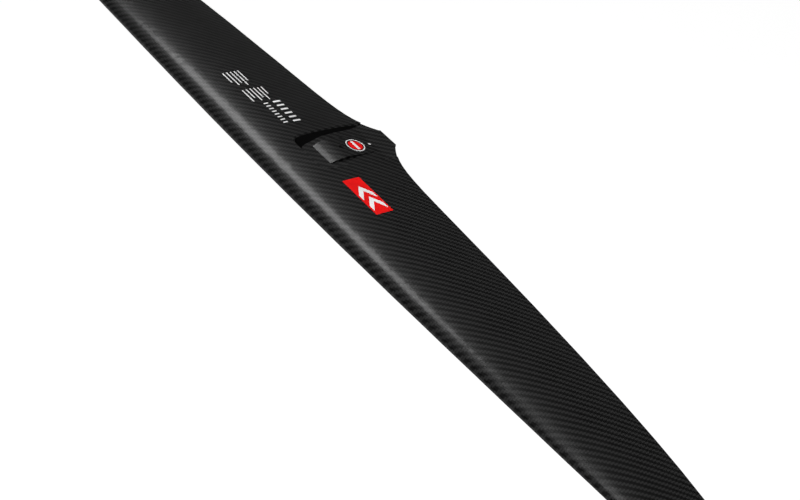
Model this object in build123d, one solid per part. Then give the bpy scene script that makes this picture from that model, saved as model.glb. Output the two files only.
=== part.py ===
from build123d import *
import math
import os

# Front wing of a hydrofoil, in millimetres.
# Design frame: X is the span, Y runs from the leading edge (0 at the root) to the trailing edge, Z is up.
# At the end every piece is moved, so that the origin is midway between the two screw holes, at the height
# of the top of the tongue.

# Planform: leading and trailing edges as even polynomials of u = (x / half_span) ** 2
half_span = 700.0
root_chord = 140.0
leading_edge_sweep = (39.6, -20.3, 16.9)
trailing_edge_sweep = (-67.0, 64.0, -65.7)
tail_flare = 32.0            # how far the trailing edge reaches back at the centre
tail_flare_width = 31.0      # half width at which the flare has fallen to a half
tail_flare_end = 260.0       # half width at which it is gone
tail_flare_from = 0.5        # chord fraction where it begins
tip_round = 34.0             # length over which each tip is rounded off
tip_middle = 0.55            # chord fraction that the rounded tip shrinks towards
tip_least = 0.02             # square of the smallest part of the chord left at the tip
anhedral = (-14.2, -4.1)     # droop of the chord line, in powers of u
washout = -1.7               # drop of the trailing edge at the tip

# Section, as fractions of the chord
thickness_law = (2.969, -1.26, -3.516, 2.843, -1.036)  # four-digit aerofoil: root, then powers 1 to 4
crown = 0.108                # height of the upper surface
belly = 0.036                # depth of the lower surface
edge_half = 0.0038           # half thickness of the trailing edge
skin_part = 0.0085           # laminate thickness
spar_front = 0.235
spar_rear = 0.322
cap_part = 0.011             # thickness of each spar cap
core_rear = 0.90             # where the foam ends and the trailing wedge starts
core_tail = 0.962            # where the two skins meet
skin_points = 13             # points along the outer line of a skin
core_points = 8
halvings = 30
cap_points = 3
span_stations = 40
station_crowding = 0.8       # how strongly the stations gather at the centre
inner_ends = 2               # stations at each tip that the cores don't reach
saddle_stations = 12         # stations at each tip that lie outside the saddle

# Saddle pocket for the fuselage, open to the rear. Its walls lean outwards, and its rim follows the skin.
pocket_half = 33.0
pocket_front = 48.4
pocket_corner = 13.0
rim_front_z = 14.0           # height of the surface at the front of the pocket
rim_level_end = 65.0         # where the surface starts to fall
rim_fall = 0.176             # how fast the surface falls towards the trailing edge
side_lean = 1.15             # run of the side walls for each millimetre of height
front_lean = 0.6
liner_wall = 3.0
liner_rear = 150.0
seat_z = 6.0                 # level front part of the saddle floor
seat_start_slope = -0.12
seat_level_end = 84.0
seat_fall = ((97.0, 5.0), (105.0, 4.0), (117.5, 2.3), (131.0, 0.4))
seat_rear = 142.0
floor_z = -1.0               # top of the base plate and its tongue
plate_thick = 4.2
tongue_half = 15.2
tongue_end = 167.0
past_tail = tongue_end + 20  # behind every piece
flare_points = 6
low_z = -40.0                # below and above every piece
high_z = 40.0

# Locating pad inside the pocket
pad_front = 70.0
pad_front_half = 17.1
pad_waist = 86.0
pad_waist_half = 19.0
pad_rear = 142.0
pad_front_z = 6.2
pad_top = ((77.0, 8.2), (83.0, 9.3), (90.0, 9.7), (97.0, 8.7), (105.0, 6.6), (117.5, 3.5), (131.0, 1.0))

# Screws
front_hole = 97.0
rear_hole = 139.5
hole_r = 2.6
sink_r = 5.2
bush_r = 7.0
bush_top = (2.0, floor_z - 1.4)
hole_y = (front_hole, rear_hole)
bottom_z = floor_z - plate_thick

# Printed and stuck-on marks
film = 0.15
gap = 0.02
badge_x = (56.5, 118.5)
badge_y = (55.0, 78.5)
badge_inset = 2.2
chevron_starts = (14.0, 33.0)
chevron_slant = 14.0
chevron_width = 9.0
emblem_y = 118.2
emblem_r = 8.8
emblem_ring = (10.4, 11.6)
emblem_band = 3.6
band_margin = 1.0
print_x = (-175.0, -50.0)
print_y = (42.0, 92.0)
heading_x = -98.0
heading_rows = ((8, 5.6, 61.0, 1.7, 6.0), (6, 8.0, 76.0, 2.7, 10.0))  # count, step, y, width, height
notes_columns = ((-168.0, 48.0, (20, 27, 24, 30, 22)), (-130.0, 50.0, (24, 18, 25, 20, 26, 15)))
notes_step = 5.2
notes_width = 1.5

pattern_y = sum(hole_y) / 2
pieces = {}


def series(powers, u):
    return sum(k * u ** (i + 1) for i, k in enumerate(powers))


def planform(x):
    """Leading edge, chord without the flare, and flare of the trailing edge at span x."""
    u = (x / half_span) ** 2
    front = series(leading_edge_sweep, u)
    rear = root_chord + series(trailing_edge_sweep, u)
    chord = rear - front
    inner = half_span - tip_round
    if abs(x) > inner:
        part = (abs(x) - inner) / tip_round
        shrink = math.sqrt(max(1 - part ** 2, tip_least))
        front += tip_middle * chord * (1 - shrink)
        chord = chord * shrink
    fade = max(1 - (x / tail_flare_end) ** 2, 0) ** 2
    flare = fade * tail_flare / (1 + (x / tail_flare_width) ** 2)
    return front, chord, flare


def half_depth(part, height):
    """Height of the surface above the chord line, as a fraction of the chord."""
    curve = thickness_law[0] * math.sqrt(part) + series(thickness_law[1:], part)
    return height * curve + math.copysign(edge_half, height) * part


def place(x, part, depth):
    """Point of the section at span x: part along the chord, depth above the chord line in chords."""
    front, chord, flare = planform(x)
    u = (x / half_span) ** 2
    aft = max(part - tail_flare_from, 0) / (1 - tail_flare_from)
    y = front + chord * part + flare * aft ** 2
    z = series(anhedral, u) + washout * u * part + chord * depth
    return Vector(x, y, z)


def surface_z(x, y):
    """Height of the upper surface at a place on the wing, by halving the chord until y is met."""
    low, high = 0.0, 1.0
    for _ in range(halvings):
        part = (low + high) / 2
        if place(x, part, 0).Y < y:
            low = part
        else:
            high = part
    return place(x, part, half_depth(part, crown)).Z


def inset_point(x, part, height, inset):
    """Point under the surface, inset by a fraction of the chord along the section's normal."""
    step = 1e-4
    side = math.copysign(1, height)
    if part < step:
        return place(x, inset, 0)
    slope = (half_depth(part + step, height) - half_depth(part - step, height)) / (2 * step)
    scale = inset / math.hypot(1, slope)
    return place(x, part + slope * side * scale, half_depth(part, height) - side * scale)


def spread(start, end, count):
    """Chord fractions from start to end, closer together towards the leading edge."""
    low, high = math.sqrt(start), math.sqrt(end)
    return [(low + (high - low) * i / count) ** 2 for i in range(count + 1)]


def stations(count):
    """Span stations from tip to tip, closer together at the centre and towards the tips."""
    steps = [2 * i / count - 1 for i in range(count + 1)]
    return [half_span * math.sin(math.pi / 2 * t * abs(t) ** station_crowding) for t in steps]


tip_to_tip = stations(span_stations)
inner_span = tip_to_tip[inner_ends:-inner_ends]
middle_span = tip_to_tip[saddle_stations:-saddle_stations]


def loft_through(spans, outline):
    """Solid through one closed outline per span station. Outlines are lists of open runs of points."""
    faces = []
    for x in spans:
        runs = outline(x)
        edges = []
        for run in runs:
            edges.append(Spline(*run) if len(run) > 2 else Line(*run))
        faces.append(make_face(Wire(edges)))
    return loft(faces)


def skin(height):
    def outline(x):
        outer = [place(x, p, half_depth(p, height)) for p in spread(0, 1, skin_points)]
        inner = [inset_point(x, p, height, skin_part) for p in spread(0, core_rear, skin_points - 1)]
        joint = place(x, core_tail, 0)
        tail = place(x, 1, 0)
        rear = [[outer[-1], tail], [tail, joint], [joint, inner[-1]]]
        return [outer, *rear, inner[::-1], [inner[0], outer[0]]]
    return loft_through(tip_to_tip, outline)


def filling(start, end, spans, upper_inset=skin_part, lower_inset=skin_part):
    """Solid between the two skins, from one chord fraction to another."""
    def outline(x):
        top = [inset_point(x, p, crown, upper_inset) for p in spread(start, end, core_points)]
        low = [inset_point(x, p, -belly, lower_inset) for p in spread(start, end, core_points)]
        if start == 0:
            return [top, [top[-1], low[-1]], low[::-1]]
        return [top, [top[-1], low[-1]], low[::-1], [low[0], top[0]]]
    return loft_through(spans, outline)


def wedge(spans):
    """Solid trailing wedge between the skins."""
    def outline(x):
        top = inset_point(x, core_rear, crown, skin_part)
        low = inset_point(x, core_rear, -belly, skin_part)
        tail = place(x, core_tail, 0)
        return [[top, tail], [tail, low], [low, top]]
    return loft_through(spans, outline)


def cap(height, spans):
    """Flat strip of the spar that lies against one skin."""
    def outline(x):
        parts = spread(spar_front, spar_rear, cap_points)
        near = [inset_point(x, p, height, skin_part) for p in parts]
        far = [inset_point(x, p, height, skin_part + cap_part) for p in parts]
        return [near, [near[-1], far[-1]], far[::-1], [far[0], near[0]]]
    return loft_through(spans, outline)


def prism(plan, low=low_z, high=high_z):
    """Upright solid on a plan shape."""
    return extrude(Pos(0, 0, low) * plan, high - low)


def pocket_plan(grow, rear=past_tail):
    """Plan of the pocket's rim: straight sides, round front corners, open past the trailing edge."""
    half = pocket_half + grow
    front = pocket_front - grow
    bend = pocket_corner + grow
    path = Polyline((-half, front + bend), (-half, rear), (half, rear), (half, front + bend))
    right = RadiusArc((half, front + bend), (half - bend, front), bend)
    left = RadiusArc((-half + bend, front), (-half, front + bend), bend)
    return make_face(path + right + Line((half - bend, front), (-half + bend, front)) + left)


def leaning_section(z):
    """Level section of the pocket at height z, with its side walls leaning outwards."""
    front = pocket_front + front_lean * (rim_front_z - z)
    level = pocket_half - side_lean * (rim_front_z - z)
    near = level + side_lean * rim_fall * (front - rim_level_end)
    far = level + side_lean * rim_fall * (past_tail - rim_level_end)
    plan = make_face(Polyline((-near, front), (near, front), (far, past_tail), (-far, past_tail), close=True))
    corners = plan.vertices().group_by(Axis.Y)[0]
    return Pos(0, 0, z) * fillet(corners, pocket_corner)


def pocket_space():
    """Free space of the pocket above the saddle floor."""
    return loft([leaning_section(floor_z), leaning_section(2 * rim_front_z)], ruled=True)


def plate_plan(grow):
    """Plan of the base plate: the pocket, then the flare of the trailing edge down to the tongue."""
    half = pocket_half + grow
    front = pocket_front - grow
    bend = pocket_corner + grow
    flare = []
    for i in range(flare_points + 1):
        x = half + (tongue_half - half) * i / flare_points
        flare.append((x, min(place(x, 1, 0).Y, tongue_end)))
    mirrored = [(-x, y) for x, y in flare]
    sides = Line((half, front + bend), flare[0]) + Spline(*flare)
    sides += Polyline(flare[-1], (tongue_half, tongue_end), (-tongue_half, tongue_end), mirrored[-1])
    sides += Spline(*mirrored[::-1]) + Line(mirrored[0], (-half, front + bend))
    sides += RadiusArc((half, front + bend), (half - bend, front), bend)
    sides += RadiusArc((-half + bend, front), (-half, front + bend), bend)
    return make_face(sides + Line((half - bend, front), (-half + bend, front)))


def saddle_block():
    """Block under the saddle floor: level at the front, then falling to the tongue."""
    front = pocket_front - liner_wall
    seat = Line((0, front, seat_z), (0, seat_level_end, seat_z))
    fall = Spline((0, seat_level_end, seat_z), *[(0, y, z) for y, z in seat_fall], (0, seat_rear, floor_z),
                  tangents=((0, 1, 0), (0, 1, seat_start_slope)))
    base = Polyline((0, seat_rear, floor_z), (0, front, floor_z), (0, front, seat_z))
    block = extrude(make_face(seat + fall + base), pocket_half + liner_wall, both=True)
    return block & prism(pocket_plan(liner_wall))


def saddle_pad():
    """Locating wedge on the saddle floor: a convex ramp up to a crest, then a long fall to the tongue."""
    front = Line((0, pad_front, floor_z), (0, pad_front, pad_front_z))
    top = Spline((0, pad_front, pad_front_z), *[(0, y, z) for y, z in pad_top], (0, pad_rear, floor_z))
    base = Line((0, pad_rear, floor_z), (0, pad_front, floor_z))
    profile = extrude(make_face(front + top + base), pocket_half, both=True)
    half = [(pad_front_half, pad_front), (pad_waist_half, pad_waist), (tongue_half, pad_rear)]
    mirrored = [(-x, y) for x, y in half[::-1]]
    return profile & prism(make_face(Polyline(*half, *mirrored, close=True)))


def drill(y, radius, low=low_z, high=high_z):
    return prism(Pos(0, y) * Circle(radius), low, high)


def bushes():
    """Countersunk steel bushes, opened out below for the screw heads."""
    group = []
    for y, top in zip(hole_y, bush_top):
        body = drill(y, bush_r, bottom_z, top) - drill(y, hole_r)
        sink = Pos(0, y, bottom_z + (sink_r - hole_r) / 2) * Cone(sink_r, hole_r, sink_r - hole_r)
        group.append(body - sink)
    return group


def strip(x0, x1, y0, y1, low, high, count=4):
    """Thin film that follows the upper surface inside a rectangle."""
    def outline(x):
        across = [y0 + (y1 - y0) * i / count for i in range(count + 1)]
        bottom = [Vector(x, y, surface_z(x, y) + low) for y in across]
        top = [Vector(x, y, surface_z(x, y) + high) for y in across]
        return [bottom, [bottom[-1], top[-1]], top[::-1], [top[0], bottom[0]]]
    return loft_through([x0 + (x1 - x0) * i / count for i in range(count + 1)], outline)


def chevrons():
    """Two plain chevrons for the badge."""
    middle = sum(badge_y) / 2
    reach = (badge_y[1] - badge_y[0]) / 2 - badge_inset
    shapes = []
    for start in chevron_starts:
        tip = badge_x[0] + start
        back = tip + chevron_slant
        far = back + chevron_width
        points = [(tip, middle), (back, middle - reach), (far, middle - reach),
                  (tip + chevron_width, middle), (far, middle + reach), (back, middle + reach)]
        shapes.append(make_face(Polyline(*points, close=True)))
    return shapes


def heading_shapes():
    """Rows of plain upright blocks."""
    shapes = []
    for count, step, y, width, height in heading_rows:
        shapes += [Pos(heading_x + step * i, y) * Rectangle(width, height) for i in range(count)]
    return shapes


def notes_shapes():
    """Columns of narrow bars that run along the span, one bar per length."""
    shapes = []
    for x, y, lengths in notes_columns:
        for i, length in enumerate(lengths):
            shapes.append(Pos(x + length / 2, y + i * notes_step) * Rectangle(length, notes_width))
    return shapes


def stamp(base, shapes):
    """Pieces of a film that lie over the given plan shapes."""
    found = []
    for shape in shapes:
        found += (base & prism(shape)).solids()
    return found


def pad_film(shape, low, high):
    """Film that follows the saddle floor under a plan shape."""
    seat = block_solid + pad_solid
    lifted = Pos(0, 0, high) * seat - Pos(0, 0, low) * seat
    return (lifted & prism(shape, floor_z + film)).solids()


# Saddle
pocket = pocket_space()
centre_space = prism(pocket_plan(liner_wall))
plate_space = prism(plate_plan(liner_wall), low_z, floor_z)
block_solid = saddle_block()
pad_solid = saddle_pad() - block_solid
holes = [drill(y, hole_r) for y in hole_y]
bush_room = [drill(y, bush_r, low_z, top) for y, top in zip(hole_y, bush_top)]
inside = filling(0, core_rear, middle_span) + wedge(middle_span)

pieces["base_plate"] = prism(plate_plan(liner_wall), bottom_z, floor_z) - holes - bush_room
pieces["saddle_block"] = block_solid - holes - bush_room
pieces["saddle_pad"] = pad_solid - holes
wall = prism(pocket_plan(liner_wall, liner_rear), floor_z) - pocket - block_solid
pieces["pocket_liner"] = (wall & inside).solids().sort_by(SortBy.VOLUME)[-1]
pieces["screw_bushes"] = Compound(bushes())

# Laminate skins
pieces["upper_skin"] = skin(crown) - pocket - plate_space
pieces["lower_skin"] = skin(-belly) - centre_space

# Spar and cores
pieces["spar_cap_upper"] = cap(crown, inner_span)
pieces["spar_cap_lower"] = cap(-belly, inner_span)
cap_inset = skin_part + cap_part
pieces["spar_web"] = filling(spar_front, spar_rear, inner_span, cap_inset, cap_inset)
pieces["nose_core"] = filling(0, spar_front, inner_span)
saddle_bay = Box(2 * (pocket_half + liner_wall), 2 * past_tail, high_z - low_z)
rear_core = filling(spar_rear, core_rear, inner_span) - saddle_bay
rear_wedge = wedge(inner_span) - saddle_bay
for side, solid in zip(("left", "right"), rear_core.solids().sort_by(Axis.X)):
    pieces["rear_core_" + side] = solid
for side, solid in zip(("left", "right"), rear_wedge.solids().sort_by(Axis.X)):
    pieces["trailing_wedge_" + side] = solid

# Marks
pieces["badge_film"] = strip(*badge_x, *badge_y, gap, gap + film)
pieces["badge_chevrons"] = Compound(stamp(strip(*badge_x, *badge_y, gap + film, gap + 2 * film), chevrons()))
emblem = Pos(0, emblem_y) * Circle(emblem_r)
ring = Pos(0, emblem_y) * (Circle(emblem_ring[1]) - Circle(emblem_ring[0]))
band = Pos(0, emblem_y) * Rectangle(2 * (emblem_r - band_margin), emblem_band)
pieces["emblem_disc"] = Compound(pad_film(emblem, gap, gap + film))
pieces["emblem_ring"] = Compound(pad_film(ring, gap, gap + film))
pieces["emblem_band"] = Compound(pad_film(band, gap + film, gap + 2 * film))
print_base = strip(*print_x, *print_y, gap, gap + film)
pieces["heading_blocks"] = Compound(stamp(print_base, heading_shapes()))
pieces["note_bars"] = Compound(stamp(print_base, notes_shapes()))

os.makedirs("parts", exist_ok=True)
for name, shape in pieces.items():
    moved = Pos(0, -pattern_y, -floor_z) * shape
    export_step(moved, "parts/" + name + ".step")
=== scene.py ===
import math

import bpy
from mathutils import Matrix, Vector

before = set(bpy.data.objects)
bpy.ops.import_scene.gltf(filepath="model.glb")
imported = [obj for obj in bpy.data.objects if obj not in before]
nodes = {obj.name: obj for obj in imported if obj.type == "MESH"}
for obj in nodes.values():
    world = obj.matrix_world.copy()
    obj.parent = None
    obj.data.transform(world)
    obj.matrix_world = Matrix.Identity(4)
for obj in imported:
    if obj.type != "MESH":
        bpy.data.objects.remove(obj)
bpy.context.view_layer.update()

mm = 0.001

# Camera: where it looks, from which way, and its roll about that line
TARGET = Vector((163.4, -63.6, 1.0)) * mm
DISTANCE = 1555.7 * mm
AZIMUTH = math.radians(42.92)
ELEVATION = math.radians(39.83)
ROLL = math.radians(13.24)
LENS = 66.6
SENSOR_WIDTH = 36
CLIP_END = 50

# Floor, in metres: far enough below the wing for the camera to look at its underside
FLOOR_Z = -4.0
BACKDROP_RADIUS = 40.0

# Lights, in metres and watts: a strip for the highlight behind the leading edge, and a soft one overhead
LIGHT_AIM = Vector((0.0, -0.09, 0.01))
BAND_PLACE = Vector((-1.50, 0.12, 2.2))
BAND_ALONG = Vector((0.95, -0.31, 0))
BAND_LENGTH = 1.6
BAND_WIDTH = 0.6
BAND_POWER = 30
KEY_PLACE = Vector((0.90, -0.57, 3.05))
KEY_ALONG = Vector((0, 1, 0))
KEY_SIZE = 2.0
KEY_POWER = 74
WORLD_STRENGTH = 0.02

# Weave: width of a tow, steps in one repeat, and the limit below which the tow along Y is on top.
# The limit falls between steps 1 and 2, which gives two steps over and two under.
TOW = 2.5 * mm
REPEAT = 4
ON_TOP = 1.5


def camera_frame():
    """Right, up and back directions of the camera."""
    back = Vector((math.sin(AZIMUTH) * math.cos(ELEVATION), -math.cos(AZIMUTH) * math.cos(ELEVATION),
                   math.sin(ELEVATION)))
    right = Vector((0, 0, 1)).cross(back).normalized()
    up = back.cross(right)
    rolled_right = math.cos(ROLL) * right + math.sin(ROLL) * up
    rolled_up = math.cos(ROLL) * up - math.sin(ROLL) * right
    return rolled_right, rolled_up, back


def add_camera():
    right, up, back = camera_frame()
    data = bpy.data.cameras.new("camera")
    data.lens = LENS
    data.sensor_width = SENSOR_WIDTH
    data.clip_end = CLIP_END
    camera = bpy.data.objects.new("camera", data)
    place = TARGET + back * DISTANCE
    camera.matrix_world = Matrix.Translation(place) @ Matrix((right, up, back)).transposed().to_4x4()
    bpy.context.scene.collection.objects.link(camera)
    bpy.context.scene.camera = camera


# Node helpers

def new_material(name):
    material = bpy.data.materials.new(name)
    material.use_nodes = True
    tree = material.node_tree
    return material, tree, tree.nodes["Principled BSDF"]


def math_node(tree, operation, *values):
    """Math node fed by sockets or plain numbers; returns its output."""
    node = tree.nodes.new("ShaderNodeMath")
    node.operation = operation
    for socket, value in zip(node.inputs, values):
        if isinstance(value, (int, float)):
            socket.default_value = value
        else:
            tree.links.new(value, socket)
    return node.outputs[0]


def position(tree):
    """X, Y and Z of the shaded point, in metres."""
    coords = tree.nodes.new("ShaderNodeTexCoord")
    split = tree.nodes.new("ShaderNodeSeparateXYZ")
    tree.links.new(coords.outputs["Object"], split.inputs[0])
    return split.outputs


def noise(tree, scale, detail=3.0):
    """Soft noise with a scale in features per metre."""
    coords = tree.nodes.new("ShaderNodeTexCoord")
    texture = tree.nodes.new("ShaderNodeTexNoise")
    texture.inputs["Scale"].default_value = scale
    texture.inputs["Detail"].default_value = detail
    tree.links.new(coords.outputs["Object"], texture.inputs["Vector"])
    return texture.outputs[0]


def ramp(tree, value, stops):
    """Colour ramp with (place, grey or colour) stops."""
    node = tree.nodes.new("ShaderNodeValToRGB")
    while len(node.color_ramp.elements) < len(stops):
        node.color_ramp.elements.new(0.5)
    for element, (place, colour) in zip(node.color_ramp.elements, stops):
        element.position = place
        element.color = (colour, colour, colour, 1) if isinstance(colour, float) else (*colour, 1)
    tree.links.new(value, node.inputs[0])
    return node.outputs[0]


def bump(tree, shader, height, distance, strength):
    node = tree.nodes.new("ShaderNodeBump")
    node.inputs["Distance"].default_value = distance
    node.inputs["Strength"].default_value = strength
    tree.links.new(height, node.inputs["Height"])
    tree.links.new(node.outputs[0], shader.inputs["Normal"])


def twill(tree, tow):
    """Two-by-two twill on the plan: 1 where the tow along Y is on top, and the height of the top tow."""
    x, y, _ = position(tree)
    across = math_node(tree, "DIVIDE", x, tow)
    along = math_node(tree, "DIVIDE", y, tow)
    column = math_node(tree, "FLOOR", across)
    row = math_node(tree, "FLOOR", along)
    step = math_node(tree, "FLOORED_MODULO", math_node(tree, "SUBTRACT", row, column), REPEAT)
    warp_on_top = math_node(tree, "LESS_THAN", step, ON_TOP)
    part_x = math_node(tree, "FRACT", across)
    part_y = math_node(tree, "FRACT", along)
    crown_x = math_node(tree, "SINE", math_node(tree, "MULTIPLY", part_x, math.pi))
    crown_y = math_node(tree, "SINE", math_node(tree, "MULTIPLY", part_y, math.pi))
    difference = math_node(tree, "SUBTRACT", crown_x, crown_y)
    height = math_node(tree, "MULTIPLY_ADD", difference, warp_on_top, crown_y)
    return warp_on_top, height


def carbon(name, light, dark, rough, coat):
    """Woven carbon under a clear coat, with the weave's sheen painted into its colour."""
    height_share, warp_share, drift_share = 0.4, 0.45, 0.15
    drift_scale, rough_scale = 60.0, 25.0
    material, tree, shader = new_material(name)
    warp_on_top, height = twill(tree, TOW)
    # Painted sheen: the tow along Y is painted lighter than the tow along X, and each tow lighter on its
    # crown than at its edges. The noise drift is real tone that differs at random.
    warp = math_node(tree, "MULTIPLY", warp_on_top, warp_share)
    painted_sheen = math_node(tree, "MULTIPLY_ADD", height, height_share, warp)
    drift = math_node(tree, "MULTIPLY", noise(tree, drift_scale), drift_share)
    colour = ramp(tree, math_node(tree, "ADD", painted_sheen, drift), [(0.3, dark), (0.85, light)])
    tree.links.new(colour, shader.inputs["Base Color"])
    roughness = ramp(tree, noise(tree, rough_scale), [(0.3, rough - 0.03), (0.7, rough + 0.04)])
    tree.links.new(roughness, shader.inputs["Roughness"])
    shader.inputs["Specular IOR Level"].default_value = 0.18
    shader.inputs["Coat Weight"].default_value = coat
    shader.inputs["Coat Roughness"].default_value = 0.2
    bump(tree, shader, height, distance=0.04 * mm, strength=0.5)
    return material


def satin(name, colour, rough, grain=0.02 * mm, scale=900.0, metallic=0.0, specular=0.4):
    """Moulded, painted or turned surface with fine grain and slight colour drift."""
    drift_scale, darkest, lightest = 45.0, 0.82, 1.12
    material, tree, shader = new_material(name)
    drift = noise(tree, drift_scale, detail=4.0)
    low = tuple(c * darkest for c in colour)
    high = tuple(min(c * lightest, 1.0) for c in colour)
    tree.links.new(ramp(tree, drift, [(0.3, low), (0.7, high)]), shader.inputs["Base Color"])
    roughness = ramp(tree, noise(tree, scale / 4), [(0.3, rough - 0.05), (0.7, rough + 0.06)])
    tree.links.new(roughness, shader.inputs["Roughness"])
    shader.inputs["Metallic"].default_value = metallic
    shader.inputs["Specular IOR Level"].default_value = specular
    bump(tree, shader, noise(tree, scale, detail=2.0), distance=grain, strength=0.6)
    return material


def foam():
    """Cut closed-cell foam."""
    cells_per_metre = 1400
    cell_wall, cell_middle = (0.45, 0.36, 0.22), (0.68, 0.6, 0.45)
    material, tree, shader = new_material("foam")
    coords = tree.nodes.new("ShaderNodeTexCoord")
    cells = tree.nodes.new("ShaderNodeTexVoronoi")
    cells.inputs["Scale"].default_value = cells_per_metre
    tree.links.new(coords.outputs["Object"], cells.inputs["Vector"])
    colour = ramp(tree, cells.outputs["Distance"], [(0.0, cell_wall), (0.6, cell_middle)])
    tree.links.new(colour, shader.inputs["Base Color"])
    shader.inputs["Roughness"].default_value = 0.85
    bump(tree, shader, cells.outputs["Distance"], distance=0.2 * mm, strength=0.7)
    return material


def assign(material, *names):
    for name in names:
        mesh = nodes[name].data
        mesh.materials.clear()
        mesh.materials.append(material)
        for polygon in mesh.polygons:
            polygon.material_index = 0


def dress():
    """Gives every CAD node its finished material."""
    skin = carbon("carbon_skin", light=0.025, dark=0.0014, rough=0.42, coat=0.3)
    plate = carbon("carbon_plate", light=0.023, dark=0.0014, rough=0.45, coat=0.2)
    # The pocket liner is painted near-black, with almost no reflection, as painted shade in the recess
    # around the saddle.
    painted_shade_wall = satin("liner_black", (0.0015, 0.0015, 0.0015), rough=0.6, specular=0.08)
    strip = satin("strip_carbon", (0.02, 0.02, 0.022), rough=0.5)
    steel = satin("bush_steel", (0.25, 0.25, 0.25), rough=0.5, metallic=1.0)
    red = satin("film_red", (0.82, 0.008, 0.008), rough=0.45, grain=0.008 * mm, specular=0.12)
    white = satin("ink_white", (0.9, 0.9, 0.9), rough=0.5, grain=0.008 * mm)
    assign(skin, "upper_skin", "lower_skin")
    assign(plate, "base_plate", "saddle_pad", "saddle_block")
    assign(painted_shade_wall, "pocket_liner")
    assign(strip, "spar_web", "spar_cap_upper", "spar_cap_lower")
    assign(strip, "trailing_wedge_left", "trailing_wedge_right")
    assign(foam(), "nose_core", "rear_core_left", "rear_core_right")
    assign(steel, "screw_bushes")
    assign(red, "badge_film", "emblem_disc")
    assign(white, "badge_chevrons", "emblem_ring", "emblem_band", "heading_blocks", "note_bars")


def area_light(name, place, aim, along, width, height, power):
    """Rectangular light at a place, facing the aim, with its width along a direction."""
    data = bpy.data.lights.new(name, "AREA")
    data.shape = "RECTANGLE"
    data.size = width
    data.size_y = height
    data.energy = power
    light = bpy.data.objects.new(name, data)
    back = (place - aim).normalized()
    side = (along - along.dot(back) * back).normalized()
    facing = Matrix((side, back.cross(side), back)).transposed().to_4x4()
    light.matrix_world = Matrix.Translation(place) @ facing
    bpy.context.scene.collection.objects.link(light)


def add_lights():
    area_light("band_light", BAND_PLACE, LIGHT_AIM, BAND_ALONG, BAND_LENGTH, BAND_WIDTH, BAND_POWER)
    area_light("key_light", KEY_PLACE, LIGHT_AIM, KEY_ALONG, KEY_SIZE, KEY_SIZE, KEY_POWER)
    world = bpy.data.worlds.new("studio")
    world.use_nodes = True
    background = world.node_tree.nodes["Background"]
    background.inputs["Color"].default_value = (1, 1, 1, 1)
    background.inputs["Strength"].default_value = WORLD_STRENGTH
    bpy.context.scene.world = world
    bpy.context.scene.view_settings.view_transform = "Standard"


def pale(name, glow):
    """Pale matt material with a glow of its own, for the floor and the backdrop."""
    material, tree, shader = new_material(name)
    tree.links.new(ramp(tree, noise(tree, 2.0), [(0.3, 0.88), (0.7, 0.9)]), shader.inputs["Base Color"])
    shader.inputs["Roughness"].default_value = 0.9
    shader.inputs["Specular IOR Level"].default_value = 0.0
    shader.inputs["Emission Color"].default_value = (1, 1, 1, 1)
    shader.inputs["Emission Strength"].default_value = glow
    return material


def add_floor():
    bpy.ops.mesh.primitive_plane_add(size=2 * BACKDROP_RADIUS, location=(0, 0, FLOOR_Z))
    floor = bpy.context.object
    floor.name = "floor"
    floor.data.materials.append(pale("floor_white", 0.95))


def add_backdrop():
    """Pale dome all round that only the camera sees, so that it adds no light or reflection."""
    bpy.ops.mesh.primitive_uv_sphere_add(radius=BACKDROP_RADIUS, segments=64, ring_count=32)
    backdrop = bpy.context.object
    backdrop.name = "backdrop"
    backdrop.data.materials.append(pale("backdrop_white", 0.9))
    backdrop.visible_diffuse = False
    backdrop.visible_glossy = False
    backdrop.visible_transmission = False
    backdrop.visible_shadow = False


add_camera()
dress()
add_lights()
add_floor()
add_backdrop()
